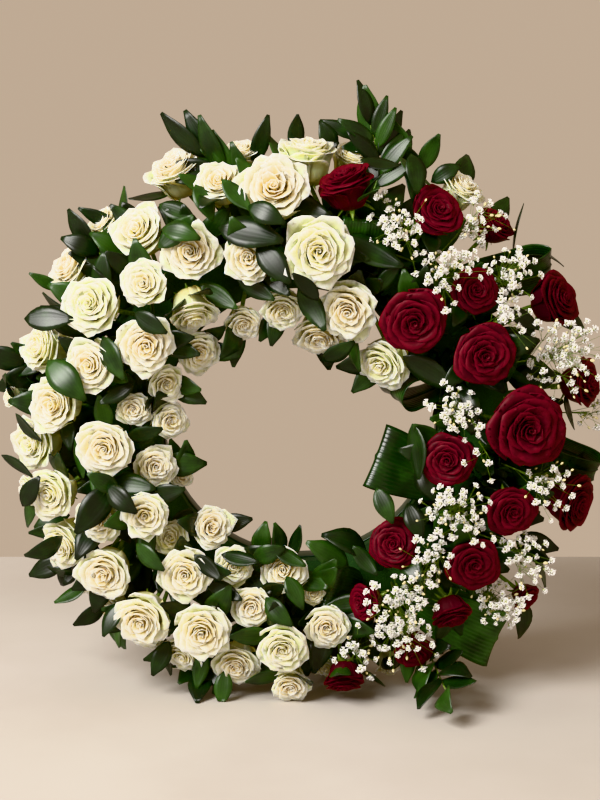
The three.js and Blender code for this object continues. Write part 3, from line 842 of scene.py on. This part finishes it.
def spread_tree(name, shapes, material):
    """Geometry nodes that stand one of several shapes on each point, turned and sized as the point says."""
    tree = bpy.data.node_groups.new(name, "GeometryNodeTree")
    tree.interface.new_socket("Geometry", in_out="INPUT", socket_type="NodeSocketGeometry")
    seed = tree.interface.new_socket("Seed", in_out="INPUT", socket_type="NodeSocketInt")
    tree.interface.new_socket("Geometry", in_out="OUTPUT", socket_type="NodeSocketGeometry")
    entry = add_node(tree, "NodeGroupInput")
    join = add_node(tree, "GeometryNodeJoinGeometry")
    for shape in reversed(shapes):
        info = add_node(tree, "GeometryNodeObjectInfo", inputs={"Object": shape, "As Instance": True})
        tree.links.new(info.outputs["Geometry"], join.inputs["Geometry"])
    turn = add_node(tree, "GeometryNodeInputNamedAttribute", {"data_type": "FLOAT_VECTOR"}, {"Name": "turn"})
    size = add_node(tree, "GeometryNodeInputNamedAttribute", {"data_type": "FLOAT"}, {"Name": "size"})
    pick = add_node(tree, "FunctionNodeRandomValue", {"data_type": "INT"}, {
        "Min": 0, "Max": len(shapes) - 1, "Seed": entry.outputs["Seed"],
    })
    rotation = add_node(tree, "FunctionNodeEulerToRotation", inputs={"Euler": turn.outputs["Attribute"]})
    stand = add_node(tree, "GeometryNodeInstanceOnPoints", inputs={
        "Points": entry.outputs["Geometry"], "Instance": join.outputs["Geometry"], "Pick Instance": True,
        "Instance Index": pick.outputs[2], "Rotation": rotation.outputs["Rotation"],
        "Scale": size.outputs["Attribute"],
    })
    shade = add_node(tree, "FunctionNodeRandomValue", {"data_type": "FLOAT"}, {
        "Seed": entry.outputs["Seed"],
    })
    marked = add_node(
        tree, "GeometryNodeStoreNamedAttribute", {"data_type": "FLOAT", "domain": "INSTANCE"},
        {"Geometry": stand.outputs["Instances"], "Name": "own shade", "Value": shade.outputs[1]},
    )
    real = add_node(tree, "GeometryNodeRealizeInstances", inputs={"Geometry": marked.outputs["Geometry"]})
    paint = add_node(tree, "GeometryNodeSetMaterial", inputs={
        "Geometry": real.outputs["Geometry"], "Material": material,
    })
    add_node(tree, "NodeGroupOutput", inputs={"Geometry": paint.outputs["Geometry"]})
    return tree, seed.identifier


leaf_tree = spread_tree("leaves on a stem", leaf_shapes, broom_leaf_skin)
narrow_tree = spread_tree("narrow leaves", [narrow_shape], broom_leaf_skin)


def stand_shapes(name, tree_and_seed, rows, seed):
    """A plain mesh of the shapes stood on rows of (point, way, face, size)."""
    tree, seed_socket = tree_and_seed
    mesh = bpy.data.meshes.new(name)
    mesh.from_pydata([tuple(row[0]) for row in rows], [], [])
    turns = []
    for _, way, face, _ in rows:
        z = Vector(way).normalized()
        x = Vector(face).cross(z).normalized()
        turns += list(Matrix((x, z.cross(x), z)).transposed().to_euler())
    mesh.attributes.new("turn", "FLOAT_VECTOR", "POINT").data.foreach_set("vector", turns)
    mesh.attributes.new("size", "FLOAT", "POINT").data.foreach_set("value", [row[3] for row in rows])
    holder = add_object(name, mesh)
    modifier = holder.modifiers.new("spread", "NODES")
    modifier.node_group = tree
    modifier[seed_socket] = seed
    apply_modifiers(holder)
    corners = np.empty(len(holder.data.vertices) * 3)
    holder.data.vertices.foreach_get("co", corners)
    corners[2::3] = np.maximum(corners[2::3], floor_gap)
    holder.data.vertices.foreach_set("co", corners)
    return holder


def sprig_rows(root, bend, tip, count, size, chance):
    """The stem's path, and where each leaf starts, the way it points, the way it faces, and its length."""
    steps = 32
    straight_reach = 60
    route = [place(*root, broom_depth), place(*root, straight_reach), place(*bend), place(*tip)]
    path, way = smooth_path(route, steps + 1)
    rows = []
    for i in range(count):
        last = i == count - 1
        at = steps if last else round(steps * (0.5 + 0.44 * i / (count - 1)))
        base, along = Vector(path[at]), Vector(way[at])
        sideways = along.cross(forward).normalized()
        sideways.rotate(Quaternion(along, (i % 2) * math.pi + chance.uniform(-0.5, 0.5)))
        open_angle = 0.08 if last else chance.uniform(0.5, 0.85)
        leaf_way = along * math.cos(open_angle) + sideways * math.sin(open_angle)
        length = size * millimetre * chance.uniform(0.82, 1.02)
        end = base + leaf_way * length
        end.z = max(end.z, 0.006)
        face = along.cross(sideways)
        face = face if face.dot(forward) > 0 else -face
        rows.append((base, end - base, face, length))
    return path, rows


sprig_chance = np.random.default_rng(11)
for name, *sprig in broom_sprigs:
    path, rows = sprig_rows(*sprig, sprig_chance)
    tree_and_seed = narrow_tree if name in narrow_sprigs else leaf_tree
    leaves = stand_shapes(f"broom_leaves_{name}", tree_and_seed, rows, 4)
    stem = Skin()
    stem.add(*tube(path[::2], np.linspace(0.5, 0.25, len(path[::2])) * broom_stem, 6), green_mark)
    belongs(stem.piece(f"broom_twig_{name}", [broom_stem_skin]))
    belongs(leaves, f"broom_{name}")


# Single broom leaves: the showy ones, pushed in last so that they lie over the edges of the roses. Each row
# is [clock, lean, heading, length]: where its middle lies, which way its tip points, and millimetres.
showy_leaves = [
    [16, 55, 110, 42], [23, 55, 180, 44], [23, 58, 145, 44], [21, 13, 120, 70], [28, 2, 40, 40],
    [330, 29, 55, 52], [346, 34, 140, 46], [347, 16, 105, 72], [352, 22, 120, 44], [352, 0, 140, 56],
    [344, -14, 115, 46], [331, -9, 120, 48], [338, 45, 155, 44], [332, 42, 120, 44], [331, 26, 110, 44],
    [322, 75, 145, 42], [314, 71, 305, 44], [312, 53, 275, 46], [311, 46, 290, 42], [310, 4, 120, 42],
    [298, 68, 310, 56], [296, 59, 300, 60], [296, 48, 95, 56], [300, 64, 135, 40], [295, 11, 150, 52],
    [285, 30, 130, 60], [285, 4, 240, 42], [281, 84, 325, 42], [277, 67, 305, 46], [273, -16, 70, 42],
    [272, 53, 125, 42], [265, 25, 160, 42], [264, 56, 115, 42], [259, 47, 40, 42], [257, 15, 260, 48],
    [252, 18, 215, 64], [255, -5, 95, 52], [253, 1, 130, 44], [259, 9, 305, 40], [249, -21, 75, 42],
    [249, 78, 250, 42], [247, 52, 245, 46], [234, 76, 245, 42], [229, 62, 240, 42], [233, 2, 130, 42],
    [226, 40, 205, 40], [217, -13, 135, 40], [207, -7, 115, 44], [207, -26, 105, 42], [212, 46, 205, 42],
    [203, 43, 190, 42], [197, 42, 185, 40], [195, -35, 75, 40], [185, -33, 125, 40], [187, -6, 135, 42],
    [182, -15, 155, 40], [184, 34, 245, 42], [5, -27, 145, 56], [2, -11, 320, 42], [23, -44, 50, 42],
    [33, -46, 160, 44], [62, -22, 115, 66], [79, -7, 165, 56], [95, -34, 165, 60], [109, -28, 150, 44],
    [127, -36, 150, 42], [125, -22, 155, 42], [158, -40, 285, 56], [167, -37, 295, 56], [152, -25, 140, 42],
    [62, 49, 135, 42], [48, 88, 200, 62], [55, 87, 115, 60], [116, 77, 105, 48], [118, 77, 125, 48],
    [121, 77, 170, 52], [183, -47, 20, 42], [192, -46, 345, 42], [200, -46, 10, 40],
]
balls = [(np.array(head["middle"]), head["width"] / 2) for head in all_heads]
box_low, box_high = (np.array(corner) for corner in cad_box)
overhang = 0.004


def is_clear(point, margin):
    """Whether a point keeps that far from every rose and the floor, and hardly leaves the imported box."""
    inside = np.all(point > box_low - overhang) and np.all(point < box_high + overhang)
    apart = all(np.linalg.norm(point - middle) > radius + margin for middle, radius in balls)
    return inside and apart and point[2] > margin


def lies_clear(base, way, length, margin):
    return all(is_clear(np.array(base + way * length * share), margin) for share in (0.35, 0.6, 0.8, 1.0))


showy_scale = 0.00108  # metres to a row's millimetre: a curved leaf looks shorter than it is
clearance = 0.001


def showy_row(clock, lean, heading, length, chance):
    """A leaf at the first reach where it touches no rose."""
    lowest_reach, highest_reach, step = 112, 150, 3
    out = direction(clock, lean)
    way = (outward(heading) + out * 0.3).normalized()
    length *= showy_scale
    for reach in range(lowest_reach, highest_reach, step):
        base = place(clock, lean, reach) - way * length / 2
        if lies_clear(base, way, length, clearance):
            break
    face = out + outward(heading + 90) * chance.uniform(-0.4, 0.4)
    return base, way, face, length


# The same leaves as a bed: a collar under every rose, and a close cover over the foam, so that no foam and
# hardly any stem shows between the flowers. The cover is thicker among the red roses.
collar_overlap = 0.004


def collar_rows(head, chance):
    rows = []
    count = 1 if abs(head["lean"]) > 60 else 2
    tries = 8 * count
    for _ in range(tries):
        side = head["face"].orthogonal().normalized()
        side.rotate(Quaternion(head["face"], chance.uniform(0, 6.28)))
        lift = math.radians(chance.uniform(35, 75))
        way = head["face"] * math.cos(lift) + side * math.sin(lift)
        length = chance.uniform(0.042, 0.056)
        base = neck_of(head) + head["face"] * 0.004
        outermost = base + side * head["width"] * 0.25
        if len(rows) < count and lies_clear(outermost, way, length, -collar_overlap):
            rows.append((base + side * head["width"] * 0.2, way, head["face"] - way * 0.2, length))
    return rows


def bed_rows(clocks, leans, count, chance):
    rows = []
    for _ in range(count):
        clock, lean = chance.uniform(*clocks), chance.uniform(*leans)
        out = direction(clock, lean)
        lean_over = Vector(chance.normal(size=3)) * 0.4
        way = (out + lean_over).normalized()
        length = np.interp(lean, [-60, -20, 50, 90], [0.036, 0.048, 0.058, 0.062]) * chance.uniform(0.9, 1.1)
        base = place(clock, lean, np.interp(lean, [-60, 0, 90], [26, 40, 46]))
        tip = base + way * length
        hides_bottom_fold = 148 < clock < 182 and lean < 15
        if tip.z > 0.01 and tip.y < tray_high.y and not hides_bottom_fold:
            rows.append((base, way, forward + out * 0.6 + lean_over * 0.5, length))
    return rows


# The crest: long narrow blades and a few broad ones that stand up over the top of the wreath, each row
# [clock, reach, heading, length] from where it leaves the flowers.
crest_blades = [
    [343, 111, 329, 80], [350, 107, 17, 62], [345, 112, 300, 40], [318, 112, 296, 52], [12, 140, 293, 54],
    [340, 108, 350, 46], [300, 118, 300, 44],
]
crest_leaves = [
    [359, 117, 4, 46], [7, 118, 336, 42], [14, 140, 352, 66], [15, 138, 265, 42], [17, 138, 110, 44],
    [22, 128, 342, 52], [25, 126, 26, 50], [20, 126, 20, 40], [28, 120, 60, 40], [3, 112, 60, 34],
]


def crest_rows(rows, chance):
    return [
        (
            place(clock, 88, reach), outward(heading) + forward * chance.uniform(-0.1, 0.3),
            forward + outward(heading + 90) * chance.uniform(-0.5, 0.5), length * 0.001,
        )
        for clock, reach, heading, length in rows
    ]


leaf_chance = np.random.default_rng(23)
loose_leaves = {
    "showy": [showy_row(*row, leaf_chance) for row in showy_leaves],
    "collar": [row for head in all_heads for row in collar_rows(head, leaf_chance)],
    "bed": (
        bed_rows((20, 172), (-60, 92), 200, leaf_chance)
        + bed_rows((172, 380), (-25, 92), 150, leaf_chance)
    ),
    "crest": crest_rows(crest_leaves, leaf_chance),
}
loose_pieces = [
    stand_shapes(f"broom_leaves_{group}", leaf_tree, rows, 8) for group, rows in loose_leaves.items()
]
blade_rows = crest_rows(crest_blades, leaf_chance)
loose_pieces.append(stand_shapes("broom_blades_crest", narrow_tree, blade_rows, 8))
for leaves in loose_pieces:
    belongs(leaves)
for shape in leaf_shapes + [narrow_shape]:
    bpy.data.objects.remove(shape)


# Gypsophila: wiry sprays that fork again and again into twigs, each with one small double white flower or a
# round bud. The sprays stand among the red roses, their main stems down in the foam.
gypsophila_sprays = [
    [[25, 28, 126, 30], [38, 59, 130, 24], [40, 19, 130, 28]],
    [[51, 43, 130, 26], [58, 24, 134, 30], [72, 51, 136, 44]],
    [[78, -12, 130, 28], [93, 2, 134, 22], [99, 32, 134, 30], [87, 84, 138, 22]],
    [[115, -6, 130, 44], [118, 34, 130, 32], [133, 2, 128, 28]],
    [[130, 47, 130, 32], [149, 2, 128, 36], [153, 20, 126, 28], [165, 26, 126, 20]],
]
gyp_depth = 22
fork_reach = 56
gyp_stem = 0.0022
flower_radius = 0.0060
flower_spacing = 0.0086
flower_face = (0.3, 0.2, 1.0)  # the way every flower's side is turned
clumps_per_metre = 520
clump_spread = 0.0115


def flower_material():
    """Gypsophila petal: papery matt white, a little green where the petals leave the cup."""
    material, tree, shader = new_material(
        "gypsophila flower, papery white", Roughness=0.7, IOR=1.35,
        Subsurface_Weight=0.2, Subsurface_Radius=(0.002, 0.002, 0.002), Subsurface_Scale=1.0,
    )
    _, along, _, _ = read_marks(tree)
    stops = [(0.0, "#8f9c5c"), (0.45, "#e9dfae"), (0.7, "#f6f6ee"), (1.0, "#ffffff")]
    tree.links.new(add_ramp(tree, along, stops), shader.inputs["Base Color"])
    return material


flower_skin = flower_material()
twig_skin = stem_material("gypsophila stem, thin green wood")


def flower_template(name, petals, openness):
    """One gypsophila flower of radius 1 that faces +Z: rounds of crumpled petals that make a loose ball."""
    chance = np.random.default_rng(len(name))
    skin = Skin()
    for i in range(petals):
        ring = i / (petals - 1)
        u, v = sheet_axes(rows=3, columns=2)
        reach = (0.25 + 0.75 * ring) * np.sin(v * math.pi / 2) * openness
        rise = (0.85 - 0.75 * ring) * v ** 1.4 + 0.16 * chance.uniform(-1, 1) * v
        side = (0.14 + 0.36 * v) * u * (0.7 + 0.3 * ring)
        cos, sin = math.cos(i * golden_angle), math.sin(i * golden_angle)
        grid = np.stack([reach * cos - side * sin, reach * sin + side * cos, rise + 0 * u], axis=2)
        add_sheet(skin, grid, 0.05, (0.5, 1.0, 0.5, 1.0))
    skin.add(*tube([(0, 0, -0.5), (0, 0, -0.1), (0, 0, 0.25)], [0.12, 0.34, 0.40], 4), (0.5, 0.1, 0.5, 1.0))
    return skin.piece(name, [flower_skin])


def bud_template(name):
    """A closed bud of radius 1: a cream drop in its green cup."""
    skin = Skin()
    drop = [(0, 0, z) for z in (-0.2, 0.5, 1.2, 1.6)]
    skin.add(*tube(drop, [0.3, 0.62, 0.5, 0.15], 5), (0.5, 0.45, 0.5, 1.0))
    return skin.piece(name, [flower_skin])


flower_shapes = [
    flower_template("flower_shape_open", petals=9, openness=1.0),
    flower_template("flower_shape_half_open", petals=7, openness=0.8),
]
bud_shapes = [bud_template("flower_shape_bud")]
flower_tree = spread_tree("flowers on twigs", flower_shapes, flower_skin)
bud_tree = spread_tree("buds on twigs", bud_shapes, flower_skin)


def cloud_twigs(elbow, middle, radius, chance):
    """Twigs of one cloud: side stems leave the main one, and each ends in a clump of flowers and buds."""
    stalks, flowers, buds = [], [], []
    for _ in range(round(clumps_per_metre * radius)):
        away = chance.normal(size=3)
        clump = middle + away / np.linalg.norm(away) * chance.uniform(0.2, 1.0) * radius
        clump += (middle - elbow) / np.linalg.norm(middle - elbow) * 0.006
        if clump[2] < 0.02 or not is_clear(clump, 0.0):
            continue
        fork = elbow + (middle - elbow) * chance.uniform(0.35, 0.95)
        side = fork + (clump - fork) * 0.6 + chance.normal(size=3) * 0.002
        stalks.append((fork, fork + (side - fork) * 0.5, side, 0.0005))
        for k in range(chance.integers(4, 8)):
            point = clump + chance.normal(size=3) * clump_spread
            spaced = all(np.linalg.norm(point - other) > flower_spacing for other, _ in flowers)
            if is_clear(point, 0.0015) and spaced:
                stalks.append((side, side + (point - side) * 0.6, point, 0.0003))
                (buds if k % 3 == 2 else flowers).append((point, point - side))
    return stalks, flowers, buds


gyp_chance = np.random.default_rng(5)
for number, clouds in enumerate(gypsophila_sprays):
    tops = [{"middle": place(*cloud[:3]), "lean": cloud[1]} for cloud in clouds]
    foot, entry = foot_of(tops, gyp_depth), foot_of(tops, fork_reach)
    twigs = Skin()
    twigs.add(*tube([foot, entry], [gyp_stem / 2] * 2, 6), green_mark)
    open_rows, bud_rows = [], []
    for clock, lean, reach, radius in clouds:
        elbow, centre = np.array(place(clock, lean, fork_reach)), np.array(place(clock, lean, reach))
        twigs.add(*tube([entry, elbow, centre], [gyp_stem / 2, gyp_stem / 2, gyp_stem / 4], 5), green_mark)
        stalks, flowers, buds = cloud_twigs(elbow, centre, radius * millimetre, gyp_chance)
        for start, side, end, thick in stalks:
            twigs.add(*tube([start, side, end], [thick, thick * 0.8, thick * 0.6], 3), green_mark)
        for point, way in flowers:
            size = flower_radius * gyp_chance.uniform(0.75, 1.05)
            open_rows.append((point, Vector(way).normalized() + forward * 0.6, flower_face, size))
        for point, way in buds:
            bud_rows.append((point, way, flower_face, flower_radius * gyp_chance.uniform(0.3, 0.5)))
    name = f"{number + 1:02d}"
    flowers = stand_shapes(f"gypsophila_flowers_{name}", flower_tree, open_rows, number)
    belongs(flowers, f"gypsophila_{name}")
    belongs(stand_shapes(f"gypsophila_buds_{name}", bud_tree, bud_rows, number))
    belongs(twigs.piece(f"gypsophila_twigs_{name}", [twig_skin]))
for shape in flower_shapes + bud_shapes:
    bpy.data.objects.remove(shape)
